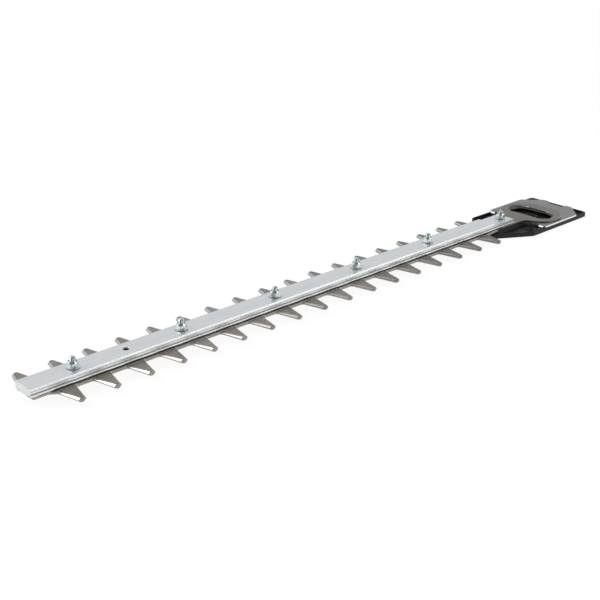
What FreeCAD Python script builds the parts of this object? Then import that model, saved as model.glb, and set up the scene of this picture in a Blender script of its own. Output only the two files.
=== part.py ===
import FreeCAD, Part
import math
import os

# Single-acting hedge trimmer blade set, as it comes off the machine for replacement.
# A toothed steel blade slides on a fixed one under an aluminium guide bar. Screws with
# guide sleeves hold the stack together from below, and lock nuts close it on the bar.
# At the machine end the sliding blade has an oval drive ring. A steel base plate carries
# the ring, and a black cover closes the end from below.
# Frame: the origin is on the cover's flat underside, below the crank axis.
# +X runs along the blades from their tip to the machine end, and +Z is up.

# Height of each layer, upwards from the flat underside
COVER_FLOOR = 1.8
SEAT_HEIGHT = 4.5
BLADE_THICK = 1.6
RUN_GAP = 0.05
BAR_THICK = 6.6

# Teeth: one row on each side, half a pitch out of step with the other
TOOTH_PITCH = 30.0
FRONT_TEETH = 17
TOOTH_REACH = 33.5
ROOT_REACH = 13.0
TOOTH_BASE = 15.4
TOOTH_TIP = 6.0
ROOT_FILLET = 1.8
TIP_CHAMFER = 0.8
TIP_CHAMFER_RUN = 0.9
BEVEL_RUN = 1.4
EDGE_LAND = 0.3
TIP_MARGIN = 1.8
NOSE_REACH = 9.5
NOSE_CORNER = 1.5
NOSE_STEP = 5.0

# Drive end of the blades, measured from the crank axis
HEAD_TO_TOOTH = 98.5
SHOULDER_MARGIN = 2.5
SHOULDER_TAPER = 7.0
NECK_REACH = 11.0
RING_WIDTH = 51.5
RING_LENGTH = 66.5
RING_HOLE_WIDTH = 24.2
RING_HOLE_LENGTH = 50.8
RING_NECK_FILLET = 8.0
RING_EDGE_CHAMFER = 0.35
RING_END_DEPTH = 1.0
RING_END_RUN = 1.4
RING_END_SHIFT = 1.2
RING_END_WIDER = 0.9
CRANK_GAP = 0.3
TAIL_ROUND = 2.0

# Guide bar: an extrusion with a sloped upper edge, a fine line, a groove and a relieved lip on each side
BAR_TOP_REACH = 9.9
BAR_SIDE_REACH = 10.5
BAR_LIP_REACH = 10.9
BAR_EDGE_DROP = 1.7
BAR_LINE_DEPTH = 0.3
BAR_LINE_HEIGHT = 0.4
BAR_GROOVE_TOP = 3.1
BAR_GROOVE_HEIGHT = 1.0
BAR_GROOVE_DEPTH = 0.9
BAR_RELIEF_HEIGHT = 0.6
BAR_RELIEF_DEPTH = 2.2
BAR_TIP_OVERHANG = 2.9
BAR_TO_CRANK = 44.7
BAR_SEAT_LENGTH = 32.0
BAR_SEAT_DROP = 1.9
TAP_HOLE_DIAMETER = 4.2
TAP_HOLE_CHAMFER = 0.8
TAP_HOLE_FROM_SCREW = 46.5

# Screws, sleeves, washers and nuts
SCREW_COUNT = 6
SCREW_FROM_TIP = 38.5
LAST_SCREW_TO_CRANK = 53.5
LAST_SCREW_STEP = 115.0
SCREW_DIAMETER = 5.0
SCREW_POINT = 0.8
SCREW_PROUD = 3.4
LAST_SCREW_PROUD = 2.2
HEAD_DIAMETER = 9.4
HEAD_HEIGHT = 2.9
SOCKET_FLATS = 3.0
SOCKET_DEPTH = 1.6
FIT_GAP = 0.15
SLEEVE_DIAMETER = 7.0
SLOT_GAP = 0.3
SLOT_END_FLAT = 0.005
WASHER_DIAMETER = 15.0
WASHER_THICK = 1.0
NUT_FLATS = 8.0
NUT_FLANGE = 11.8
NUT_FLANGE_THICK = 1.1
NUT_HEX_TOP = 4.4
NUT_CROWN = 6.6
NUT_CROWN_RISE = 1.2
THREAD_GAP = 0.04

# Base plate under the ring, measured from the crank axis
PLATE_THICK = 1.6
PLATE_MARGIN = 2.75
PLATE_BACK = 23.0
PLATE_FRONT = 50.0
PLATE_CORNER = 18.0
PLATE_NOTCH_WIDTH = 20.0
PLATE_NOTCH_DEPTH = 6.0
PLATE_OPENING_WIDTH = 28.0
PLATE_OPENING_LENGTH = 48.0
PLATE_ROUND = 1.5
TAB_WIDTH = 5.0
TAB_FROM_SIDE = 5.4
TAB_BEND = 0.6

# Cover under the drive end, measured from the crank axis
COVER_SETBACK = 0.4
COVER_FRONT = 52.5
COVER_SHOULDER = 43.5
COVER_BACK_SHOULDER = 54.0
COVER_NOSE = 81.5
COVER_NOSE_REACH = 13.0
COVER_ROUND = 4.0
COVER_EDGE_CHAMFER = 0.5
COVER_WALL = 2.0
TONGUE_REACH = 10.5
TONGUE_MARGIN = 3.0
TONGUE_TO_PLATE = 3.0
TONGUE_DRAFT = 1.2
TONGUE_ROUND = 2.0
RIB_PLACE = 25.0
RIB_WIDTH = 2.5
RIB_MARGIN = 8.0
FIXING_DIAMETER = 5.5
FIXING_BOSS = 10.0
FIXING_BOSS_RISE = 1.0
CRANK_BOSS = 16.0
CRANK_BOSS_RISE = 1.6
CRANK_HOLE = 10.0
NOSE_FIXING_X = 33.0
NOSE_FIXING_Y = 25.0
FRONT_FIXING_X = 46.5
FRONT_FIXING_FROM_SIDE = 7.1

# Heights and places that follow from these sizes
LOWER_TOP = SEAT_HEIGHT + BLADE_THICK
UPPER_Z = LOWER_TOP + RUN_GAP
BAR_Z = UPPER_Z + BLADE_THICK + RUN_GAP
BAR_TOP = BAR_Z + BAR_THICK
BAR_SEAT = BAR_TOP - BAR_SEAT_DROP
HEAD_SEAT = SEAT_HEIGHT - WASHER_THICK
PLATE_Z = LOWER_TOP - PLATE_THICK
BACK_TEETH = FRONT_TEETH + 1
FIRST_TOOTH_X = -HEAD_TO_TOOTH - (FRONT_TEETH - 1) * TOOTH_PITCH
BLADE_TIP_X = FIRST_TOOTH_X - TOOTH_PITCH / 2 - TOOTH_BASE / 2 - TIP_MARGIN
SHOULDER_X = -HEAD_TO_TOOTH + TOOTH_PITCH / 2 + TOOTH_BASE / 2 + SHOULDER_MARGIN
LAST_SCREW_X = -LAST_SCREW_TO_CRANK
FIRST_SCREW_X = BLADE_TIP_X + SCREW_FROM_TIP
SCREW_STEP = (LAST_SCREW_X - LAST_SCREW_STEP - FIRST_SCREW_X) / (SCREW_COUNT - 2)
SCREW_PLACES = [FIRST_SCREW_X + i * SCREW_STEP for i in range(SCREW_COUNT - 1)] + [LAST_SCREW_X]
BORE_RADIUS = SCREW_DIAMETER / 2 + FIT_GAP
# The crank's disc moves the ring by the length that its oval hole leaves free.
STROKE = RING_HOLE_LENGTH - RING_HOLE_WIDTH - 2 * CRANK_GAP
TAIL_X = -PLATE_BACK - TAB_BEND - PLATE_THICK - TONGUE_TO_PLATE
PLATE_REACH = RING_LENGTH / 2 + PLATE_MARGIN
COVER_REACH = PLATE_REACH - COVER_SETBACK
FRONT_FIXING_Y = COVER_REACH - FRONT_FIXING_FROM_SIDE


def rounded_wire(corners, z):
    """Closed wire at height z through (x, y, radius) corners, each rounded by an arc."""
    edges = []
    places = []
    for k, (x, y, radius) in enumerate(corners):
        here = FreeCAD.Vector(x, y, z)
        before = FreeCAD.Vector(corners[k - 1][0], corners[k - 1][1], z)
        after = FreeCAD.Vector(corners[(k + 1) % len(corners)][0], corners[(k + 1) % len(corners)][1], z)
        to_before = (before - here).normalize()
        to_after = (after - here).normalize()
        if radius == 0:
            places.append((here, None, here))
            continue
        half = to_before.getAngle(to_after) / 2
        tangent = radius / math.tan(half)
        bisector = (to_before + to_after).normalize()
        middle = here + bisector * (radius / math.sin(half) - radius)
        places.append((here + to_before * tangent, middle, here + to_after * tangent))
    for k, (start, middle, end) in enumerate(places):
        if middle is not None:
            edges.append(Part.Arc(start, middle, end).toShape())
        edges.append(Part.LineSegment(end, places[(k + 1) % len(places)][0]).toShape())
    return Part.Wire(edges)


def prism(corners, low, high):
    """Upright solid between two heights with a rounded outline."""
    face = Part.Face(rounded_wire(corners, low))
    return face.extrude(FreeCAD.Vector(0, 0, high - low))


def drafted(corners_low, corners_high, low, high):
    """Solid that tapers from one outline to another with the same number of corners."""
    return Part.makeLoft([rounded_wire(corners_low, low), rounded_wire(corners_high, high)], True, True)


def slot_corners(x, y, size_x, size_y):
    """Corners of a slot with round ends, centred on x, y."""
    # A hair less than half the width leaves a short flat on the round ends.
    radius = min(size_x, size_y) / 2 - SLOT_END_FLAT
    signs = ((-1, -1), (1, -1), (1, 1), (-1, 1))
    return [(x + sx * size_x / 2, y + sy * size_y / 2, radius) for sx, sy in signs]


def cylinder(x, y, radius, low, high):
    return Part.makeCylinder(radius, high - low, FreeCAD.Vector(x, y, low))


def revolved(x, profile):
    """Solid of revolution about the upright line through x, 0 from (radius, z) points."""
    points = [FreeCAD.Vector(x + r, 0, z) for r, z in profile]
    face = Part.Face(Part.makePolygon(points + points[:1]))
    return face.revolve(FreeCAD.Vector(x, 0, 0), FreeCAD.Vector(0, 0, 1), 360)


def hexagon(x, flats, low, high):
    """Upright hexagonal solid about x, 0."""
    radius = flats / math.sqrt(3)
    turns = [math.radians(60 * k) for k in range(6)]
    points = [FreeCAD.Vector(x + radius * math.cos(a), radius * math.sin(a), low) for a in turns]
    face = Part.Face(Part.makePolygon(points + points[:1]))
    return face.extrude(FreeCAD.Vector(0, 0, high - low))


def tooth_row(count, first_x, side):
    """Corners of one row of tapered teeth with chamfered tips, in rising x."""
    slope = (TOOTH_BASE - TOOTH_TIP) / 2 / (TOOTH_REACH - ROOT_REACH)
    half = [
        (TOOTH_BASE / 2, ROOT_REACH, ROOT_FILLET),
        (TOOTH_TIP / 2 + slope * TIP_CHAMFER, TOOTH_REACH - TIP_CHAMFER, 0),
        (TOOTH_TIP / 2 - TIP_CHAMFER, TOOTH_REACH, 0),
    ]
    corners = []
    for i in range(count):
        x = first_x + i * TOOTH_PITCH
        corners += [(x - across, side * reach, radius) for across, reach, radius in half]
        corners += [(x + across, side * reach, radius) for across, reach, radius in reversed(half)]
    return corners


def toothed_outline():
    """Corners of the toothed length, anticlockwise, and the bevel run of the edge after each."""
    front = tooth_row(FRONT_TEETH, FIRST_TOOTH_X, -1)
    back = tooth_row(BACK_TEETH, FIRST_TOOTH_X - TOOTH_PITCH / 2, 1)
    back.reverse()
    # The first tooth of the back row runs straight into the nose of the blade.
    back[-1] = (BLADE_TIP_X, ROOT_REACH - TIP_MARGIN, NOSE_CORNER)
    nose = [(BLADE_TIP_X, -NOSE_REACH, NOSE_CORNER)]
    taper = [(FIRST_TOOTH_X - TOOTH_BASE / 2 - NOSE_STEP, -NOSE_REACH, ROOT_FILLET)]
    shoulder = [(SHOULDER_X, -ROOT_REACH, 0), (SHOULDER_X, ROOT_REACH, 0)]
    row_runs = [BEVEL_RUN, TIP_CHAMFER_RUN, 0, TIP_CHAMFER_RUN, BEVEL_RUN, BEVEL_RUN]
    runs = [BEVEL_RUN, BEVEL_RUN]
    runs += row_runs * FRONT_TEETH
    runs += [0, BEVEL_RUN]
    runs += row_runs * BACK_TEETH
    runs[-1] = 0
    return nose + taper + front + shoulder + back, runs


def inset(corners, runs):
    """Outline moved inwards by each edge's own run; round hollows stay concentric."""
    moved = []
    for k, (x, y, radius) in enumerate(corners):
        here = FreeCAD.Vector(x, y, 0)
        before = FreeCAD.Vector(corners[k - 1][0], corners[k - 1][1], 0)
        after = FreeCAD.Vector(corners[(k + 1) % len(corners)][0], corners[(k + 1) % len(corners)][1], 0)
        along_in = (here - before).normalize()
        along_out = (after - here).normalize()
        turn = along_in.x * along_out.y - along_in.y * along_out.x
        run_in, run_out = runs[k - 1], runs[k]
        # The moved corner lies run_in from the first edge and run_out from the second.
        shift = along_out * (-run_in / turn) + along_in * (run_out / turn)
        hollow = radius > 0 and turn < 0
        moved.append((x - shift.x, y - shift.y, radius + (run_in if hollow else 0)))
    return moved


def toothed():
    """Toothed length of a blade with its cutting edge at z 0 and its ground bevels on top."""
    corners, runs = toothed_outline()
    top = inset(corners, runs)
    return prism(corners, 0, EDGE_LAND).fuse(drafted(corners, top, EDGE_LAND, BLADE_THICK))


def neck(end, radius):
    """Plain strip from the toothed length to x = end."""
    half = [
        (SHOULDER_X, ROOT_REACH, 0),
        (SHOULDER_X + SHOULDER_TAPER, NECK_REACH, 0),
        (end, NECK_REACH, radius),
    ]
    return prism(half + [(x, -y, r) for x, y, r in reversed(half)], 0, BLADE_THICK)


def drive_ring():
    """Neck and oval ring of the sliding blade, with the hollow corners between them rounded."""
    ring = prism(slot_corners(0, 0, RING_WIDTH, RING_LENGTH), 0, BLADE_THICK)
    joined = ring.fuse(neck(0, 0)).removeSplitter()
    meeting = [
        edge for edge in joined.Edges
        if abs(edge.BoundBox.ZLength - BLADE_THICK) < 1e-6
        and abs(abs(edge.BoundBox.Center.y) - NECK_REACH) < 1e-6
        and edge.BoundBox.Center.x > SHOULDER_X + SHOULDER_TAPER + 1e-6
    ]
    joined = joined.makeFillet(RING_NECK_FILLET, meeting)
    rim = [
        edge for edge in joined.Edges
        if edge.BoundBox.ZMin > BLADE_THICK - 1e-6
        and edge.BoundBox.XMin > SHOULDER_X + SHOULDER_TAPER - 1e-6
    ]
    return joined.makeChamfer(RING_EDGE_CHAMFER, rim)


TOOTHED = toothed()


def upper_blade():
    """Sliding blade: slots for the guide sleeves and the oval hole for the crank's disc."""
    body = TOOTHED.fuse(drive_ring()).removeSplitter()
    width = SLEEVE_DIAMETER + 2 * SLOT_GAP
    for x in SCREW_PLACES:
        body = body.cut(prism(slot_corners(x, 0, width + STROKE, width), 0, BLADE_THICK))
    body = body.cut(prism(slot_corners(0, 0, RING_HOLE_WIDTH, RING_HOLE_LENGTH), 0, BLADE_THICK))
    # A cone that is a little off each end of the oval hole relieves its upper edge there.
    reach = (RING_HOLE_LENGTH - RING_HOLE_WIDTH) / 2 + RING_END_SHIFT
    radius = RING_HOLE_WIDTH / 2 + RING_END_WIDER
    for side in (-1, 1):
        low = FreeCAD.Vector(0, side * reach, BLADE_THICK - RING_END_DEPTH)
        body = body.cut(Part.makeCone(radius - RING_END_RUN, radius, RING_END_DEPTH, low))
    return body.translated(FreeCAD.Vector(0, 0, UPPER_Z))


def lower_blade():
    """Fixed blade: the same teeth turned over, so that the two cutting edges meet."""
    body = TOOTHED.fuse(neck(TAIL_X, TAIL_ROUND)).removeSplitter()
    for x in SCREW_PLACES:
        body = body.cut(cylinder(x, 0, BORE_RADIUS, 0, BLADE_THICK))
    turned = body.mirror(FreeCAD.Vector(0, 0, 0), FreeCAD.Vector(0, 0, 1))
    return turned.translated(FreeCAD.Vector(0, 0, LOWER_TOP))


def guide_bar():
    """Extruded aluminium bar, milled lower at the drive end, with screw holes and one tapped hole."""
    start = BLADE_TIP_X - BAR_TIP_OVERHANG
    edge = BAR_TOP - BAR_EDGE_DROP
    line_low = edge - BAR_LINE_HEIGHT
    groove_top = BAR_Z + BAR_GROOVE_TOP
    groove_low = groove_top - BAR_GROOVE_HEIGHT
    land = BAR_LIP_REACH - BAR_RELIEF_DEPTH
    half = [
        (land, BAR_Z),
        (land, BAR_Z + BAR_RELIEF_HEIGHT),
        (BAR_LIP_REACH, BAR_Z + BAR_RELIEF_HEIGHT),
        (BAR_LIP_REACH, groove_low),
        (BAR_SIDE_REACH - BAR_GROOVE_DEPTH, groove_low),
        (BAR_SIDE_REACH - BAR_GROOVE_DEPTH, groove_top),
        (BAR_SIDE_REACH, groove_top),
        (BAR_SIDE_REACH, line_low),
        (BAR_SIDE_REACH - BAR_LINE_DEPTH, (line_low + edge) / 2),
        (BAR_SIDE_REACH, edge),
        (BAR_TOP_REACH, BAR_TOP),
    ]
    section = half + [(-y, z) for y, z in reversed(half)]
    points = [FreeCAD.Vector(start, y, z) for y, z in section]
    face = Part.Face(Part.makePolygon(points + points[:1]))
    bar = face.extrude(FreeCAD.Vector(-BAR_TO_CRANK - start, 0, 0))
    corner = FreeCAD.Vector(-BAR_TO_CRANK - BAR_SEAT_LENGTH, -BAR_LIP_REACH, BAR_SEAT)
    bar = bar.cut(Part.makeBox(BAR_SEAT_LENGTH, 2 * BAR_LIP_REACH, BAR_SEAT_DROP, corner))
    for x in SCREW_PLACES:
        bar = bar.cut(cylinder(x, 0, BORE_RADIUS, BAR_Z, BAR_TOP))
    x = FIRST_SCREW_X + TAP_HOLE_FROM_SCREW
    radius = TAP_HOLE_DIAMETER / 2
    hole = [
        (0, BAR_Z),
        (radius, BAR_Z),
        (radius, BAR_TOP - TAP_HOLE_CHAMFER),
        (radius + TAP_HOLE_CHAMFER, BAR_TOP),
        (0, BAR_TOP),
    ]
    return bar.cut(revolved(x, hole))


def clamp_screw(x, nut_seat, proud):
    """Screw with a round flat head and a hexagon socket, head down."""
    low = HEAD_SEAT - HEAD_HEIGHT
    radius = SCREW_DIAMETER / 2
    tip = nut_seat + NUT_HEX_TOP + NUT_CROWN_RISE + proud
    profile = [
        (0, low),
        (HEAD_DIAMETER / 2, low),
        (HEAD_DIAMETER / 2, HEAD_SEAT),
        (radius, HEAD_SEAT),
        (radius, tip - SCREW_POINT),
        (radius - SCREW_POINT, tip),
        (0, tip),
    ]
    return revolved(x, profile).cut(hexagon(x, SOCKET_FLATS, low, low + SOCKET_DEPTH))


def guide_sleeve(x):
    """Sleeve on the screw: it holds the bar clear, so that the upper blade can slide."""
    outer = cylinder(x, 0, SLEEVE_DIAMETER / 2, LOWER_TOP, BAR_Z)
    return outer.cut(cylinder(x, 0, BORE_RADIUS, LOWER_TOP, BAR_Z))


def flat_washer(x):
    """Washer between a screw head and the lower blade."""
    outer = cylinder(x, 0, WASHER_DIAMETER / 2, HEAD_SEAT, SEAT_HEIGHT)
    return outer.cut(cylinder(x, 0, BORE_RADIUS, HEAD_SEAT, SEAT_HEIGHT))


def lock_nut(x, seat):
    """Hexagon lock nut with a flange below and a conical crown."""
    hex_top = seat + NUT_HEX_TOP
    top = hex_top + NUT_CROWN_RISE
    crown = [(0, hex_top), (NUT_FLATS / 2, hex_top), (NUT_CROWN / 2, top), (0, top)]
    nut = hexagon(x, NUT_FLATS, seat, hex_top).fuse([
        cylinder(x, 0, NUT_FLANGE / 2, seat, seat + NUT_FLANGE_THICK),
        revolved(x, crown),
    ])
    return nut.cut(cylinder(x, 0, SCREW_DIAMETER / 2 + THREAD_GAP, seat, top)).removeSplitter()


def tab(side):
    """Tab bent down from the plate's edge until it stands on the cover."""
    outer = TAB_BEND + PLATE_THICK
    edge = -PLATE_BACK
    centre = FreeCAD.Vector(edge, 0, PLATE_Z - TAB_BEND)
    turn = math.sqrt(0.5)

    def at(radius, left, up):
        return centre + FreeCAD.Vector(-radius * left, 0, radius * up)

    foot = COVER_FLOOR - centre.z
    wire = Part.Wire([
        Part.LineSegment(at(TAB_BEND, 0, 1), at(outer, 0, 1)).toShape(),
        Part.Arc(at(outer, 0, 1), at(outer, turn, turn), at(outer, 1, 0)).toShape(),
        Part.LineSegment(at(outer, 1, 0), at(outer, 1, 0) + FreeCAD.Vector(0, 0, foot)).toShape(),
        Part.LineSegment(
            at(outer, 1, 0) + FreeCAD.Vector(0, 0, foot),
            at(TAB_BEND, 1, 0) + FreeCAD.Vector(0, 0, foot),
        ).toShape(),
        Part.LineSegment(at(TAB_BEND, 1, 0) + FreeCAD.Vector(0, 0, foot), at(TAB_BEND, 1, 0)).toShape(),
        Part.Arc(at(TAB_BEND, 1, 0), at(TAB_BEND, turn, turn), at(TAB_BEND, 0, 1)).toShape(),
    ])
    solid = Part.Face(wire).extrude(FreeCAD.Vector(0, TAB_WIDTH, 0))
    return solid.translated(FreeCAD.Vector(0, side * (PLATE_REACH - TAB_FROM_SIDE) - TAB_WIDTH / 2, 0))


def base_plate():
    """Stamped plate that the drive ring runs on, with an oval opening and two bent tabs."""
    slope = PLATE_REACH - PLATE_CORNER
    half = [
        (-PLATE_BACK, PLATE_REACH, PLATE_ROUND),
        (PLATE_FRONT - PLATE_CORNER, PLATE_REACH, PLATE_ROUND),
        (PLATE_FRONT, slope, PLATE_ROUND),
        (PLATE_FRONT, PLATE_NOTCH_WIDTH / 2, PLATE_ROUND),
        (PLATE_FRONT - PLATE_NOTCH_DEPTH, PLATE_NOTCH_WIDTH / 2, PLATE_ROUND),
    ]
    corners = half + [(x, -y, r) for x, y, r in reversed(half)]
    plate = prism(corners, PLATE_Z, LOWER_TOP)
    opening = slot_corners(0, 0, PLATE_OPENING_WIDTH, PLATE_OPENING_LENGTH)
    plate = plate.cut(prism(opening, PLATE_Z, LOWER_TOP))
    return plate.fuse([tab(-1), tab(1)]).removeSplitter()


def cover_outline(shrink):
    """Kite-shaped outline of the cover, moved inwards by shrink; its back shoulder is longer."""
    corners = []
    for side, shoulder in ((1, COVER_BACK_SHOULDER), (-1, COVER_SHOULDER)):
        half = [
            (-COVER_NOSE + shrink, side * (COVER_NOSE_REACH - shrink), COVER_ROUND),
            (-shoulder, side * (COVER_REACH - shrink), COVER_ROUND),
            (COVER_FRONT - shrink, side * (COVER_REACH - shrink), COVER_ROUND),
        ]
        corners += half[::side]
    return corners


def under_cover():
    """Moulded tray: floor, outer wall, raised tongue under the blades, ribs and screw bosses."""
    edge = SEAT_HEIGHT - COVER_EDGE_CHAMFER
    body = prism(cover_outline(0), 0, edge)
    body = body.fuse(drafted(cover_outline(0), cover_outline(COVER_EDGE_CHAMFER), edge, SEAT_HEIGHT))
    body = body.cut(prism(cover_outline(COVER_WALL), COVER_FLOOR, SEAT_HEIGHT))
    tongue_start = -COVER_NOSE + TONGUE_MARGIN
    signs = ((0, -1), (1, -1), (1, 1), (0, 1))
    ends = (tongue_start, TAIL_X)
    foot_reach = TONGUE_REACH + TONGUE_DRAFT
    foot = [(ends[e] + (2 * e - 1) * TONGUE_DRAFT, s * foot_reach, TONGUE_ROUND) for e, s in signs]
    top = [(ends[e], s * TONGUE_REACH, TONGUE_ROUND) for e, s in signs]
    tongue = drafted(foot, top, COVER_FLOOR, SEAT_HEIGHT)
    body = body.fuse(tongue)
    rib_start = -PLATE_BACK + RIB_MARGIN
    rib_end = PLATE_FRONT - PLATE_CORNER - RIB_MARGIN
    middle = (rib_start + rib_end) / 2
    boss_top = COVER_FLOOR + FIXING_BOSS_RISE
    for side in (-1, 1):
        rib = slot_corners(middle, side * RIB_PLACE, rib_end - rib_start, RIB_WIDTH)
        body = body.fuse(prism(rib, COVER_FLOOR, PLATE_Z))
        for x, y in ((-NOSE_FIXING_X, NOSE_FIXING_Y), (FRONT_FIXING_X, FRONT_FIXING_Y)):
            body = body.fuse(cylinder(x, side * y, FIXING_BOSS / 2, 0, boss_top))
            body = body.cut(cylinder(x, side * y, FIXING_DIAMETER / 2, 0, boss_top))
    crank_top = COVER_FLOOR + CRANK_BOSS_RISE
    body = body.fuse(cylinder(0, 0, CRANK_BOSS / 2, 0, crank_top))
    body = body.cut(cylinder(0, 0, CRANK_HOLE / 2, 0, crank_top))
    body = body.cut(cylinder(LAST_SCREW_X, 0, HEAD_DIAMETER / 2 + FIT_GAP, 0, HEAD_SEAT))
    body = body.cut(cylinder(LAST_SCREW_X, 0, BORE_RADIUS, HEAD_SEAT, SEAT_HEIGHT))
    return body.removeSplitter()


pieces = {
    "guide_bar": guide_bar(),
    "upper_blade": upper_blade(),
    "lower_blade": lower_blade(),
    "base_plate": base_plate(),
    "under_cover": under_cover(),
}
for number, place in enumerate(SCREW_PLACES, start=1):
    last = number == SCREW_COUNT
    nut_seat = BAR_SEAT if last else BAR_TOP
    pieces["clamp_screw_%d" % number] = clamp_screw(place, nut_seat, LAST_SCREW_PROUD if last else SCREW_PROUD)
    pieces["guide_sleeve_%d" % number] = guide_sleeve(place)
    pieces["lock_nut_%d" % number] = lock_nut(place, nut_seat)
    # The last screw's head seats in the cover, which takes the place of a washer there.
    if not last:
        pieces["flat_washer_%d" % number] = flat_washer(place)

os.makedirs("parts", exist_ok=True)
for node, shape in pieces.items():
    solid = shape.Solids[0]
    print(node, shape.isValid(), len(shape.Solids), len(shape.Faces), round(solid.Volume))
    solid.exportStep("parts/%s.step" % node)
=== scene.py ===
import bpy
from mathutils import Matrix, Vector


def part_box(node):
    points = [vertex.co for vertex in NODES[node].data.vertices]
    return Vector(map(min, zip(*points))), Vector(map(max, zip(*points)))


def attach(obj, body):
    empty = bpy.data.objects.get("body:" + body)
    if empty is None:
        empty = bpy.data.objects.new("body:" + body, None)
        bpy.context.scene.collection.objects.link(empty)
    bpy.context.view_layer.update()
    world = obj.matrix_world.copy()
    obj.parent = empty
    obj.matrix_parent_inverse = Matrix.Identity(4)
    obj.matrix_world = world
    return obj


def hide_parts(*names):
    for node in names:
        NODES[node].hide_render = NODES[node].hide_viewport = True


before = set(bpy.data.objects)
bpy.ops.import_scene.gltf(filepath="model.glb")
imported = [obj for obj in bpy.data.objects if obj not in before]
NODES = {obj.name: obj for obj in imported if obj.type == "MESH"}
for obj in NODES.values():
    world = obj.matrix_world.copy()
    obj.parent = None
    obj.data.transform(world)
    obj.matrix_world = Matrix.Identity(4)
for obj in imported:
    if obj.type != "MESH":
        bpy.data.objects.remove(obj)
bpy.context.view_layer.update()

import math
from functools import reduce

import bmesh
import bpy
from mathutils import Matrix, Vector

MM = 0.001

# Camera, fitted to the photograph: focal length in pixels of the frame, place in metres, angles in radians
FOCAL_PIXELS = 1077.1
FRAME_PIXELS = 600
SENSOR_MM = 36.0
CAMERA_PLACE = (-0.9289, -0.6224, 0.3652)
CAMERA_YAW = 0.76009
CAMERA_TILT = 0.39961
CAMERA_ROLL = 0.00586
CAMERA_CLIP = 0.01

# Nuts, in millimetres, with heights above the seat on the guide bar. The crown's two radii are below and
# above its broken edge, and those of its mouth at the top and at the floor
NUT_FLATS = 8.0
NUT_BORE_GAP = 0.04
NUT_FLANGE_RADIUS = 5.2
NUT_FLANGE_BREAK = 0.1
NUT_FLANGE_RIM = 0.55
NUT_FLANGE_TOP = 1.1
NUT_HEX_TOP = 4.4
NUT_HEX_CHAMFER = 0.55
NUT_SHOULDER_RISE = 0.03
NUT_CROWN_RADII = (3.42, 3.22)
NUT_CROWN_TOP = 5.6
NUT_CROWN_BREAK = 0.15
NUT_MOUTH_RADII = (3.0, 2.95)
NUT_MOUTH_DEPTH = 0.35
# Shares: of the hexagon's corner radius that is left, of its half width at the chamfer's end and at the
# shoulder, and of painted shadow round the foot, where the nut meets the bar
NUT_CORNER_CUT = 0.975
NUT_CHAMFER_END = 0.99
NUT_SHOULDER = 0.97
NUT_FOOT_PAINTED_SHADE = 0.55
# How far each nut stopped from one corner pointing along the bar when it was tightened, in degrees
NUT_TURNS = (-14, -20, -5, -11, -26, 8)

# Screws, in millimetres, with the start of the thread above the seat of the nut. The socket's broken edge
# has a width and a height
THREAD_RADIUS = 2.5
THREAD_DEPTH = 0.42
THREAD_PITCH = 0.8
THREAD_START = 4.9
THREAD_RING_STEP = 0.1
SCREW_POINT = 0.8
HEAD_RADIUS = 4.7
HEAD_HEIGHT = 2.9
HEAD_ROUND = 0.6
SOCKET_FLATS = 3.0
SOCKET_DEPTH = 1.6
SOCKET_BREAK = (0.12, 0.1)
SOCKET_END_RADIUS = 0.3
SOCKET_END_RISE = 0.25
# Steepness of the thread's flanks, and how far its root is cut flat
THREAD_FLANK = 1.25
THREAD_FLAT = 0.1

# Steps round nuts and screws, and rings over each slope and over the rounded edge of a head
TURN_STEPS = 96
SLOPE_RINGS = 6
ROUND_RINGS = 4

# Guide bar, in millimetres: rounding of its lip, then the two heights above its underside and the distance
# from its middle that bound the painted shade in the groove, the fine line and the relief in its sides, then
# the radius of the tapped hole, its distance from the bar's end and the depth at which its painted shade
# begins
LIP_ROUND = 0.7
GROOVE = (2.15, 3.05, 9.5)
LINE = (4.55, 4.85, 10.12)
RELIEF = (-0.1, 0.58, 5.0)
HOLE_RADIUS = 2.6
HOLE_FROM_TIP = 87.9
HOLE_BELOW_TOP = 0.03

# Mesh work: distances in millimetres, angles in radians, and segments of rounded edges
WELD = 0.002
NEAR = 0.01
FLAT_ANGLE = math.radians(0.6)
SHARP_ANGLE = math.radians(32)
TURNED_SHARP_ANGLE = math.radians(28)
EDGE_SEGMENTS = 2
LIP_SEGMENTS = 4

# Surface colours, and factors on them for marks and stains, in pairs for the two ends of a noise pattern
BAR_LINES = ((0.82, 0.825, 0.825), (0.90, 0.90, 0.895))
BAR_MARKS = ((0.92, 0.93, 0.94), (1.0, 1.0, 1.0))
BLADE_FACE = ((0.27, 0.240, 0.212), (0.365, 0.332, 0.296))
BLADE_STAIN = ((0.80, 0.78, 0.74), (1.0, 1.0, 1.0))
BLADE_GROUND = ((0.56, 0.54, 0.51), (0.68, 0.66, 0.63))
PLATE_FACE = ((0.24, 0.24, 0.235), (0.32, 0.32, 0.315))
PLATE_STAIN = ((0.86, 0.86, 0.86), (1.0, 1.0, 1.0))
ZINC_TINT = ((0.56, 0.62, 0.63), (0.72, 0.77, 0.77))
COVER_SHADE = ((0.006, 0.006, 0.008), (0.012, 0.012, 0.015))
# Single colours: a painted highlight for the plate's upright edges and the near-black of painted shade on the
# nuts; then the greys of painted shade in the bar's groove, line, relief and hole
PLATE_EDGE_PAINTED_HIGHLIGHT = (0.80, 0.80, 0.79)
ZINC_PAINTED_SHADE = (0.02, 0.022, 0.024)
BAR_PAINTED_SHADE = (0.34, 0.55, 0.06, 0.20)
# Noise values between which a pattern changes: most patterns, and the factors for marks and stains
PATTERN = (0.3, 0.7)
STAIN = (0.35, 0.65)
NOISE_ROUGHNESS = 0.6

# Blades: where the ground part ends and where the steel is at its palest, in metres along them, the tone
# of the steel at these two places, and how far the ring's chamfer, which is not ground, takes on the look of
# the ground bevels as a painted highlight
GROUND_END = -0.086
PALE_FROM = -0.38
BLADE_TONES = (0.7, 1.15)
RING_CHAMFER_PAINTED_HIGHLIGHT = 0.8
GROUND_ROUGHNESS = 0.26
FACE_ROUGHNESS = 0.40

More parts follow.
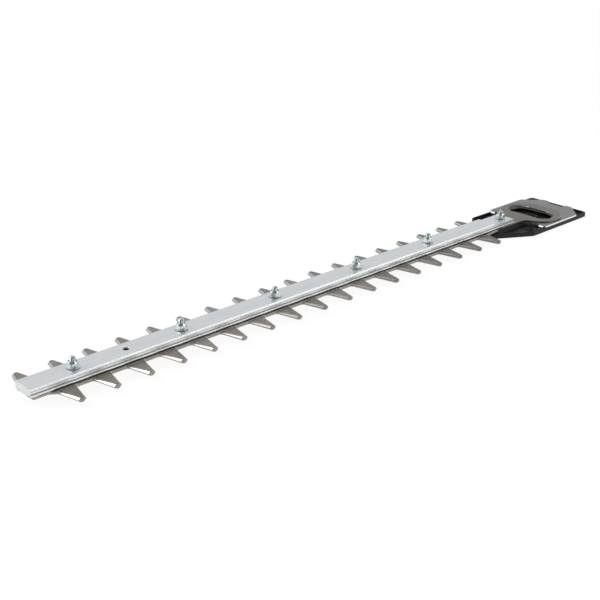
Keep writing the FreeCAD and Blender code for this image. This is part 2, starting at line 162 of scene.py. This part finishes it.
# Floor: half its width and its middle in metres, the grey that lights the part from below, the brightness
# that lifts the floor in view to white, and the share that still takes a shadow
FLOOR_HALF = 6.0
FLOOR_MIDDLE = (-0.33, 0, 0)
FLOOR_GREY = 0.80
FLOOR_GLOW = 0.90
FLOOR_SHADE = 0.18

# Surroundings: the brightness turns from the first to the second level between two values of the cosine
# towards a direction, and the brightest entry counts. In order: white at the horizon all round, a patch high
# on the camera's left, a patch low on its right, and a glow behind the part that fades towards the camera
WORLD_COLOUR = (0.95, 0.975, 1.0)
WORLD_LIGHT = (
    ((0, 0, 1), (0.05, 0.20, 1.0, 0.0)),
    ((-0.66, 0.60, 0.45), (0.88, 0.95, 0.0, 1.25)),
    ((0.55, -0.83, 0.05), (0.93, 0.985, 0.0, 1.1)),
    ((0.62, 0.72, 0.30), (0.1, 0.9, 0.25, 0.82)),
)

# Lamps: name, place, width and height in metres; all have the same power in watts and face one point
LAMPS = (
    ("softbox_back", (-1.565, 1.18, 1.36), 1.3, 0.8),
    ("softbox_front", (0.7, -1.65, 0.55), 1.2, 0.9),
)
LAMP_POWER = 8
LAMP_AIM = (-0.3, 0, 0)


def node_tree(name):
    """New material with a Principled shader; returns the material, its node tree and the shader."""
    material = bpy.data.materials.new(name)
    material.use_nodes = True
    tree = material.node_tree
    return material, tree, tree.nodes["Principled BSDF"]


def stretched_noise(tree, detail, stretch):
    """Noise in the object's own space, with its own fineness along each axis."""
    place = tree.nodes.new("ShaderNodeTexCoord")
    mapping = tree.nodes.new("ShaderNodeMapping")
    mapping.inputs["Scale"].default_value = stretch
    noise = tree.nodes.new("ShaderNodeTexNoise")
    noise.inputs["Scale"].default_value = 1.0
    noise.inputs["Detail"].default_value = detail
    noise.inputs["Roughness"].default_value = NOISE_ROUGHNESS
    tree.links.new(place.outputs["Object"], mapping.inputs["Vector"])
    tree.links.new(mapping.outputs["Vector"], noise.inputs["Vector"])
    return noise.outputs["Fac"]


def ramp(tree, source, stops):
    """Colour ramp over a value, from (position, grey or colour) stops."""
    made = tree.nodes.new("ShaderNodeValToRGB")
    elements = made.color_ramp.elements
    while len(elements) < len(stops):
        elements.new(0.5)
    for element, (position, colour) in zip(elements, stops):
        element.position = position
        element.color = (*colour, 1) if isinstance(colour, tuple) else (colour, colour, colour, 1)
    tree.links.new(source, made.inputs["Fac"])
    return made.outputs["Color"]


def between(tree, noise, pair, limits=PATTERN):
    """Goes from the first to the second of two greys or colours as a noise crosses its limits."""
    return ramp(tree, noise, list(zip(limits, pair)))


def map_range(tree, source, bounds, interpolation):
    """Value carried over from one range to another, with the bounds of the first and then of the second."""
    made = tree.nodes.new("ShaderNodeMapRange")
    made.interpolation_type = interpolation
    for name, value in zip(("From Min", "From Max", "To Min", "To Max"), bounds):
        made.inputs[name].default_value = value
    tree.links.new(source, made.inputs["Value"])
    return made.outputs["Result"]


def fed(tree, socket, value):
    """Gives an input socket its value: another socket, a colour or a number."""
    if isinstance(value, bpy.types.NodeSocket):
        tree.links.new(value, socket)
    elif isinstance(value, tuple):
        socket.default_value = (*value, 1)
    else:
        socket.default_value = value


def mixed(tree, factor, first, second, blend="MIX"):
    """Mix of two colours; the factor and the colours are sockets or plain values."""
    mix = tree.nodes.new("ShaderNodeMix")
    mix.data_type = "RGBA"
    mix.blend_type = blend
    for socket, value in ((mix.inputs[0], factor), (mix.inputs[6], first), (mix.inputs[7], second)):
        fed(tree, socket, value)
    return mix.outputs[2]


def sums(tree):
    """Function that adds a Math node for an operation on two values, each a socket or a number."""

    def calculate(operation, first, second):
        made = tree.nodes.new("ShaderNodeMath")
        made.operation = operation
        for socket, value in zip(made.inputs, (first, second)):
            fed(tree, socket, value)
        return made.outputs[0]

    return calculate


def largest(tree, sources):
    """Largest of several values."""
    calculate = sums(tree)
    return reduce(lambda one, other: calculate("MAXIMUM", one, other), sources)


def bump(tree, height, strength, distance):
    """Surface direction roughened by a height pattern."""
    made = tree.nodes.new("ShaderNodeBump")
    made.inputs["Strength"].default_value = strength
    made.inputs["Distance"].default_value = distance
    tree.links.new(height, made.inputs["Height"])
    return made.outputs["Normal"]


def split_axes(tree, source):
    """X, Y and Z of a vector."""
    split = tree.nodes.new("ShaderNodeSeparateXYZ")
    tree.links.new(source, split.inputs["Vector"])
    return split.outputs["X"], split.outputs["Y"], split.outputs["Z"]


def own_place(tree):
    """X, Y and Z of the shaded point in the object's own space."""
    return split_axes(tree, tree.nodes.new("ShaderNodeTexCoord").outputs["Object"])


def upward(tree):
    """How far the surface faces up: 1 straight up, 0 upright, -1 straight down."""
    return split_axes(tree, tree.nodes.new("ShaderNodeNewGeometry").outputs["Normal"])[2]


def bar_painted_shade(tree):
    """Shares of painted shade in the bar's grooves, side lines, reliefs and tapped hole: 1 inside each one, 0
    elsewhere.
    """
    low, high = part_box("guide_bar")
    calculate = sums(tree)
    along, across, up = own_place(tree)
    from_middle = calculate("ABSOLUTE", across, 0)
    shares = []
    for bottom, top, reach in (GROOVE, LINE, RELIEF):
        above = calculate("GREATER_THAN", up, low.z + bottom * MM)
        below = calculate("LESS_THAN", up, low.z + top * MM)
        outside = calculate("GREATER_THAN", from_middle, reach * MM)
        shares.append(calculate("MULTIPLY", calculate("MULTIPLY", above, below), outside))
    offset = calculate("SUBTRACT", along, low.x + HOLE_FROM_TIP * MM)
    squares = calculate("ADD", calculate("MULTIPLY", offset, offset), calculate("MULTIPLY", across, across))
    near = calculate("LESS_THAN", squares, (HOLE_RADIUS * MM) ** 2)
    sunk = calculate("LESS_THAN", up, high.z - HOLE_BELOW_TOP * MM)
    shares.append(calculate("MULTIPLY", near, sunk))
    return shares


def aluminium():
    """Extruded aluminium: pale satin with fine lines along the bar, faint handling marks, and painted shade
    darkening its grooves, side lines, relief and tapped hole.
    """
    material, tree, shader = node_tree("bar_aluminium")
    shader.inputs["Metallic"].default_value = 0.8
    lines = stretched_noise(tree, detail=3.0, stretch=(14, 2600, 2600))
    marks = stretched_noise(tree, detail=4.0, stretch=(60, 160, 160))
    pale = between(tree, lines, BAR_LINES)
    worn = between(tree, marks, BAR_MARKS, STAIN)
    colour = mixed(tree, 1.0, pale, worn, "MULTIPLY")
    # Painted shade: the groove, side line, relief and tapped hole are greyed down in the colour.
    for share, grey in zip(bar_painted_shade(tree), BAR_PAINTED_SHADE):
        colour = mixed(tree, share, colour, (grey, grey, grey))
    tree.links.new(colour, shader.inputs["Base Color"])
    tree.links.new(between(tree, marks, (0.40, 0.52)), shader.inputs["Roughness"])
    tree.links.new(bump(tree, lines, strength=0.06, distance=0.02 * MM), shader.inputs["Normal"])
    return material


def blade_steel():
    """Hardened blade steel: brown-grey, darker at the drive ring, with bright ground bevels on the teeth, a
    painted highlight on the ring's chamfer and painted shade on bevels that face down.
    """
    material, tree, shader = node_tree("blade_steel")
    shader.inputs["Metallic"].default_value = 1.0
    streaks = stretched_noise(tree, detail=4.0, stretch=(40, 900, 900))
    clouds = stretched_noise(tree, detail=3.0, stretch=(45, 45, 45))
    grinding = stretched_noise(tree, detail=2.0, stretch=(2600, 500, 500))
    calculate = sums(tree)
    along = own_place(tree)[0]
    face = between(tree, streaks, BLADE_FACE)
    stain = between(tree, clouds, BLADE_STAIN, STAIN)
    dull = mixed(tree, 1.0, face, stain, "MULTIPLY")
    tone = map_range(tree, along, (GROUND_END, PALE_FROM, *BLADE_TONES), "LINEAR")
    dull = mixed(tree, 1.0, dull, tone, "MULTIPLY")
    ground = between(tree, grinding, BLADE_GROUND)
    # The ground bevels take their bright look only where they slope and look up; those that face down, on the
    # lower blade, keep the dull colour as painted shade. The ring's chamfer is not ground and gets a little
    # less of that look as a painted highlight.
    toothed = calculate("LESS_THAN", along, GROUND_END)
    sloped = [(0.25, 0.0), (0.40, 1.0), (0.90, 1.0), (0.96, 0.0)]
    facing = ramp(tree, upward(tree), sloped)
    ground_and_painted_highlight = calculate("MULTIPLY", facing, calculate("MAXIMUM", toothed, RING_CHAMFER_PAINTED_HIGHLIGHT))
    roughness = ((FACE_ROUGHNESS,) * 3, (GROUND_ROUGHNESS,) * 3)
    tree.links.new(mixed(tree, ground_and_painted_highlight, dull, ground), shader.inputs["Base Color"])
    tree.links.new(mixed(tree, ground_and_painted_highlight, *roughness), shader.inputs["Roughness"])
    tree.links.new(bump(tree, streaks, strength=0.10, distance=0.04 * MM), shader.inputs["Normal"])
    return material


def plate_steel():
    """Rolled plate steel with a neutral grey, slightly mottled surface and a painted highlight on its upright
    cut edges.
    """
    material, tree, shader = node_tree("plate_steel")
    shader.inputs["Metallic"].default_value = 1.0
    grain = stretched_noise(tree, detail=4.0, stretch=(120, 700, 400))
    clouds = stretched_noise(tree, detail=3.0, stretch=(70, 70, 70))
    face = between(tree, grain, PLATE_FACE)
    stain = between(tree, clouds, PLATE_STAIN, STAIN)
    rolled = mixed(tree, 1.0, face, stain, "MULTIPLY")
    level = sums(tree)("ABSOLUTE", upward(tree), 0)
    # Painted highlight: faces that are not level are lightened in the colour.
    edge_highlight = ramp(tree, level, [(0.75, 1.0), (0.95, 0.0)])
    tree.links.new(mixed(tree, edge_highlight, rolled, PLATE_EDGE_PAINTED_HIGHLIGHT), shader.inputs["Base Color"])
    tree.links.new(between(tree, clouds, (0.34, 0.46)), shader.inputs["Roughness"])
    tree.links.new(bump(tree, grain, strength=0.10, distance=0.04 * MM), shader.inputs["Normal"])
    return material


def zinc():
    """Bright zinc plating with a slight blue-green tint, tarnish spots, and painted shade where the mesh
    marks it.
    """
    material, tree, shader = node_tree("zinc_fastener")
    shader.inputs["Metallic"].default_value = 1.0
    clouds = stretched_noise(tree, detail=4.0, stretch=(420, 420, 420))
    tint = between(tree, clouds, ZINC_TINT)
    # Painted shade: a share stored on the mesh turns the zinc near-black at the nuts' foot and in their
    # mouths.
    painted_shade = tree.nodes.new("ShaderNodeAttribute")
    painted_shade.attribute_name = "painted_shade"
    tree.links.new(mixed(tree, painted_shade.outputs["Fac"], tint, ZINC_PAINTED_SHADE), shader.inputs["Base Color"])
    tree.links.new(between(tree, clouds, (0.10, 0.20)), shader.inputs["Roughness"])
    return material


def cover_black():
    """Moulded black cover with a fine satin texture."""
    material, tree, shader = node_tree("cover_black")
    shader.inputs["Specular IOR Level"].default_value = 0.3
    grain = stretched_noise(tree, detail=3.0, stretch=(1800, 1800, 1800))
    clouds = stretched_noise(tree, detail=3.0, stretch=(60, 60, 60))
    tree.links.new(between(tree, clouds, COVER_SHADE), shader.inputs["Base Color"])
    tree.links.new(between(tree, clouds, (0.48, 0.60)), shader.inputs["Roughness"])
    tree.links.new(bump(tree, grain, strength=0.25, distance=0.06 * MM), shader.inputs["Normal"])
    return material


MATERIALS = {
    "bar_aluminium": aluminium(),
    "blade_steel": blade_steel(),
    "plate_steel": plate_steel(),
    "zinc_fastener": zinc(),
    "cover_black": cover_black(),
}


def linked(data, name):
    """New object in the scene for a mesh, a camera or a lamp."""
    made = bpy.data.objects.new(name, data)
    bpy.context.scene.collection.objects.link(made)
    return made


def stand_for(piece, node, body):
    """Puts a piece in the place of a CAD node: attaches it to the node's body and hides the node."""
    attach(piece, body)
    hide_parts(node)


def round_lip(build):
    """Rounds the upper edge of the bar's lip, as the extrusion die leaves it."""
    near = NEAR * MM
    reach = max(abs(v.co.y) for v in build.verts)
    outer = [v for v in build.verts if abs(v.co.y) > reach - near]
    top = max(v.co.z for v in outer)
    corners = {v for v in outer if v.co.z > top - near}
    bmesh.ops.bevel(
        build,
        geom=[e for e in build.edges if set(e.verts) <= corners],
        offset=LIP_ROUND * MM,
        segments=LIP_SEGMENTS,
        profile=0.5,
        affect="EDGES",
        clamp_overlap=True,
    )


def dressed(node, slot, body, edge_mm=0, shaping=None):
    """Copy of a CAD node with clean faces, which stands for it; edges are broken unless edge_mm is 0."""
    mesh = NODES[node].data.copy()
    build = bmesh.new()
    build.from_mesh(mesh)
    bmesh.ops.remove_doubles(build, verts=build.verts, dist=WELD * MM)
    bmesh.ops.dissolve_limit(
        build,
        angle_limit=FLAT_ANGLE,
        verts=build.verts,
        edges=build.edges,
        use_dissolve_boundaries=False,
    )
    if shaping:
        shaping(build)
    build.to_mesh(mesh)
    build.free()
    mesh.materials.clear()
    mesh.materials.append(MATERIALS[slot])
    mesh.normals_split_custom_set([(0, 0, 0)] * len(mesh.loops))
    mesh.shade_smooth()
    mesh.set_sharp_from_angle(angle=SHARP_ANGLE)
    piece = linked(mesh, node + "_piece")
    if edge_mm:
        bevel = piece.modifiers.new("edge", "BEVEL")
        bevel.width = edge_mm * MM
        bevel.segments = EDGE_SEGMENTS
        bevel.limit_method = "ANGLE"
        bevel.angle_limit = SHARP_ANGLE
        bevel.harden_normals = True
        bevel.use_clamp_overlap = True
    else:
        # Flat ground faces keep their own direction next to the round roots.
        weighted = piece.modifiers.new("flat_faces", "WEIGHTED_NORMAL")
        weighted.mode = "FACE_AREA"
        weighted.weight = 100
        weighted.keep_sharp = True
    stand_for(piece, node, body)


def turned_mesh(name, rings, centre, capped):
    """Closed mesh about an upright axis from rings of (radius at each turn angle, height, share of painted
    shade).
    """
    mesh = bpy.data.meshes.new(name)
    build = bmesh.new()
    loops = []
    painted_shade = build.verts.layers.float.new("painted_shade")
    for radius, height, dark in rings:
        loop = []
        for k in range(TURN_STEPS):
            angle = 2 * math.pi * k / TURN_STEPS
            r = radius(angle)
            place = centre + Vector((r * math.cos(angle), r * math.sin(angle), height)) * MM
            vert = build.verts.new(place)
            vert[painted_shade] = dark
            loop.append(vert)
        loops.append(loop)
    pairs = list(zip(loops, loops[1:]))
    if not capped:
        pairs.append((loops[-1], loops[0]))
    for low, high in pairs:
        for k in range(TURN_STEPS):
            after = (k + 1) % TURN_STEPS
            build.faces.new((low[k], low[after], high[after], high[k]))
    if capped:
        build.faces.new(list(reversed(loops[0])))
        build.faces.new(loops[-1])
    bmesh.ops.recalc_face_normals(build, faces=build.faces)
    build.to_mesh(mesh)
    build.free()
    mesh.shade_smooth()
    mesh.set_sharp_from_angle(angle=TURNED_SHARP_ANGLE)
    mesh.materials.append(MATERIALS["zinc_fastener"])
    return mesh


def plain(value):
    """Radius of a round ring, the same at every angle."""
    return lambda angle: value


def hexagon_radius(flats, angle):
    """Distance from the axis to the side of a hexagon with a corner at angle 0."""
    sixth = math.pi / 3
    return flats / 2 / math.cos((angle % sixth) - sixth / 2)


def nut_rings(turn):
    """Rings of a flange lock nut, turned by an angle: bore, flange, chamfered hexagon and crown."""
    half = NUT_FLATS / 2
    corner = NUT_FLATS / math.sqrt(3) * NUT_CORNER_CUT
    chamfer_low = NUT_HEX_TOP - NUT_HEX_CHAMFER
    flange_slope = NUT_FLANGE_TOP - NUT_FLANGE_RIM
    bore = THREAD_RADIUS + NUT_BORE_GAP
    crown_low, crown_high = NUT_CROWN_RADII
    mouth_high, mouth_low = NUT_MOUTH_RADII
    mouth_floor = NUT_CROWN_TOP - NUT_MOUTH_DEPTH

    def side(z):
        chamfered = max(0, (z - chamfer_low) / NUT_HEX_CHAMFER)
        limit = corner * (1 - chamfered) + half * NUT_CHAMFER_END * chamfered
        fallen = max(0, (z - NUT_FLANGE_RIM) / flange_slope)
        flange = NUT_FLANGE_RADIUS - fallen * (NUT_FLANGE_RADIUS - half)
        return lambda angle: max(flange, min(limit, hexagon_radius(NUT_FLATS, angle - turn)))

    heights = [NUT_FLANGE_BREAK, NUT_FLANGE_RIM]
    heights += [NUT_FLANGE_RIM + flange_slope * k / SLOPE_RINGS for k in range(1, SLOPE_RINGS + 1)]
    heights += [chamfer_low + NUT_HEX_CHAMFER * k / SLOPE_RINGS for k in range(SLOPE_RINGS + 1)]
    # The foot of the flange is darkened in the colour: painted shadow where the nut sits on the bar.
    rings = [(plain(bore), 0, 0), (plain(NUT_FLANGE_RADIUS - NUT_FLANGE_BREAK), 0, NUT_FOOT_PAINTED_SHADE)]
    rings += [(side(z), z, NUT_FOOT_PAINTED_SHADE if z <= NUT_FLANGE_RIM else 0) for z in heights]
    rings += [
        (plain(half * NUT_SHOULDER), NUT_HEX_TOP + NUT_SHOULDER_RISE, 0),
        (plain(crown_low), NUT_CROWN_TOP - NUT_CROWN_BREAK, 0),
        (plain(crown_high), NUT_CROWN_TOP, 0),
        # The mouth of the crown, round the screw, is painted fully dark: painted shade in the hollow.
        (plain(mouth_high), NUT_CROWN_TOP, 1),
        (plain(mouth_low), mouth_floor, 1),
        (plain(bore), mouth_floor, 1),
    ]
    return rings


def screw_rings(head_low, end):
    """Rings of a clamp screw from its socket to its threaded end, with heights above the seat of the nut."""
    socket_end = head_low + SOCKET_DEPTH
    head_top = head_low + HEAD_HEIGHT
    thread_low = THREAD_START - THREAD_PITCH
    break_out, break_up = SOCKET_BREAK

    def socket(angle):
        return hexagon_radius(SOCKET_FLATS, angle)

    def thread(z):
        fade = min(1, max(0, (z - thread_low) / THREAD_PITCH))
        limit = THREAD_RADIUS - max(0, z - (end - SCREW_POINT))

        def radius(angle):
            phase = (z / THREAD_PITCH - angle / (2 * math.pi)) % 1
            ridge = min(1, max(0, THREAD_FLANK * (1 - abs(2 * phase - 1)) - THREAD_FLAT))
            return min(THREAD_RADIUS - THREAD_DEPTH * fade * (1 - ridge), limit)

        return radius

    rings = [
        (plain(SOCKET_END_RADIUS), socket_end + SOCKET_END_RISE, 0),
        (socket, socket_end, 0),
        (socket, head_low + break_up, 0),
        (lambda angle: socket(angle) + break_out, head_low, 0),
        (plain(HEAD_RADIUS - HEAD_ROUND), head_low, 0),
    ]
    for k in range(1, ROUND_RINGS + 1):
        turn = math.pi / 2 * k / ROUND_RINGS
        radius = HEAD_RADIUS - HEAD_ROUND * (1 - math.sin(turn))
        rings.append((plain(radius), head_low + HEAD_ROUND * (1 - math.cos(turn)), 0))
    rings += [
        (plain(HEAD_RADIUS), head_top, 0),
        (plain(THREAD_RADIUS), head_top, 0),
        (plain(THREAD_RADIUS), thread_low, 0),
    ]
    steps = round((end - thread_low) / THREAD_RING_STEP)
    for k in range(1, steps):
        z = thread_low + (end - thread_low) * k / steps
        rings.append((thread(z), z, 0))
    rings.append((plain(THREAD_RADIUS - SCREW_POINT), end, 0))
    return rings


def fasteners():
    """Detailed nuts and screws in place of the plain solids, and zinc on the sleeves and washers."""
    for number, degrees in enumerate(NUT_TURNS, start=1):
        nut, screw = "lock_nut_%d" % number, "clamp_screw_%d" % number
        low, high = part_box(nut)
        centre = Vector(((low.x + high.x) / 2, (low.y + high.y) / 2, low.z))
        screw_low, screw_end = ((corner.z - centre.z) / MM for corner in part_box(screw))
        nut_made = (nut, nut_rings(math.radians(degrees)), False)
        screw_made = (screw, screw_rings(screw_low, screw_end), True)
        for node, rings, capped in (nut_made, screw_made):
            piece = linked(turned_mesh(node + "_piece", rings, centre, capped), node + "_piece")
            stand_for(piece, node, "frame")
    for name, node in NODES.items():
        if name.startswith(("guide_sleeve", "flat_washer")):
            node.data.materials.clear()
            node.data.materials.append(MATERIALS["zinc_fastener"])


def camera():
    """Camera at the photograph's viewpoint."""
    forward = Vector((
        math.sin(CAMERA_YAW) * math.cos(CAMERA_TILT),
        math.cos(CAMERA_YAW) * math.cos(CAMERA_TILT),
        -math.sin(CAMERA_TILT),
    ))
    level = Vector((math.cos(CAMERA_YAW), -math.sin(CAMERA_YAW), 0))
    upright = level.cross(forward)
    right = math.cos(CAMERA_ROLL) * level + math.sin(CAMERA_ROLL) * upright
    up = math.cos(CAMERA_ROLL) * upright - math.sin(CAMERA_ROLL) * level
    data = bpy.data.cameras.new("camera")
    data.sensor_fit = "HORIZONTAL"
    data.sensor_width = SENSOR_MM
    data.lens = SENSOR_MM * FOCAL_PIXELS / FRAME_PIXELS
    data.clip_start = CAMERA_CLIP
    made = linked(data, "camera")
    turn = Matrix((right, up, -forward)).transposed().to_4x4()
    made.matrix_world = Matrix.Translation(CAMERA_PLACE) @ turn
    bpy.context.scene.camera = made


def floor_white():
    """Floor material: white with a soft shadow where it is seen, matt grey where it lights the part."""
    material = bpy.data.materials.new("floor_white")
    material.use_nodes = True
    tree = material.node_tree
    tree.nodes.clear()
    out = tree.nodes.new("ShaderNodeOutputMaterial")
    matt = tree.nodes.new("ShaderNodeBsdfDiffuse")
    matt.inputs["Color"].default_value = (FLOOR_GREY, FLOOR_GREY, FLOOR_GREY, 1)
    faint = tree.nodes.new("ShaderNodeBsdfDiffuse")
    faint.inputs["Color"].default_value = (FLOOR_SHADE, FLOOR_SHADE, FLOOR_SHADE, 1)
    glow = tree.nodes.new("ShaderNodeEmission")
    glow.inputs["Strength"].default_value = FLOOR_GLOW
    both = tree.nodes.new("ShaderNodeAddShader")
    choose = tree.nodes.new("ShaderNodeMixShader")
    # Rays that show the floor come from the camera, or are mirrored or passed on by a surface.
    path = tree.nodes.new("ShaderNodeLightPath")
    shown = [path.outputs[name] for name in ("Is Camera Ray", "Is Glossy Ray", "Is Transmission Ray")]
    tree.links.new(faint.outputs[0], both.inputs[0])
    tree.links.new(glow.outputs[0], both.inputs[1])
    tree.links.new(largest(tree, shown), choose.inputs["Fac"])
    tree.links.new(matt.outputs[0], choose.inputs[1])
    tree.links.new(both.outputs[0], choose.inputs[2])
    tree.links.new(choose.outputs[0], out.inputs["Surface"])
    return material


def floor():
    """Large level floor at the height of the frame's origin."""
    mesh = bpy.data.meshes.new("floor")
    build = bmesh.new()
    bmesh.ops.create_grid(build, x_segments=1, y_segments=1, size=FLOOR_HALF)
    build.to_mesh(mesh)
    build.free()
    made = linked(mesh, "floor")
    made.location = FLOOR_MIDDLE
    mesh.materials.append(floor_white())


def surroundings():
    """World light from the table of directions."""
    world = bpy.data.worlds.new("studio")
    bpy.context.scene.world = world
    world.use_nodes = True
    tree = world.node_tree
    tree.nodes.clear()
    out = tree.nodes.new("ShaderNodeOutputWorld")
    light = tree.nodes.new("ShaderNodeBackground")
    light.inputs["Color"].default_value = (*WORLD_COLOUR, 1)
    place = tree.nodes.new("ShaderNodeTexCoord")
    levels = []
    for direction, bounds in WORLD_LIGHT:
        towards = tree.nodes.new("ShaderNodeVectorMath")
        towards.operation = "DOT_PRODUCT"
        towards.inputs[1].default_value = Vector(direction).normalized()
        tree.links.new(place.outputs["Generated"], towards.inputs[0])
        levels.append(map_range(tree, towards.outputs["Value"], bounds, "SMOOTHSTEP"))
    tree.links.new(largest(tree, levels), light.inputs["Strength"])
    tree.links.new(light.outputs[0], out.inputs["Surface"])


def lamps():
    """Soft rectangular lamps that face the part."""
    for name, place, width, height in LAMPS:
        data = bpy.data.lights.new(name, "AREA")
        data.shape = "RECTANGLE"
        data.size = width
        data.size_y = height
        data.energy = LAMP_POWER
        made = linked(data, name)
        made.location = place
        made.rotation_euler = (Vector(LAMP_AIM) - Vector(place)).to_track_quat("-Z", "Y").to_euler()


dressed("guide_bar", "bar_aluminium", "frame", edge_mm=0.15, shaping=round_lip)
dressed("upper_blade", "blade_steel", "upper")
dressed("lower_blade", "blade_steel", "frame")
dressed("base_plate", "plate_steel", "frame", edge_mm=0.25)
dressed("under_cover", "cover_black", "frame", edge_mm=0.2)
fasteners()
camera()
floor()
surroundings()
lamps()
bpy.context.scene.view_settings.view_transform = "Standard"
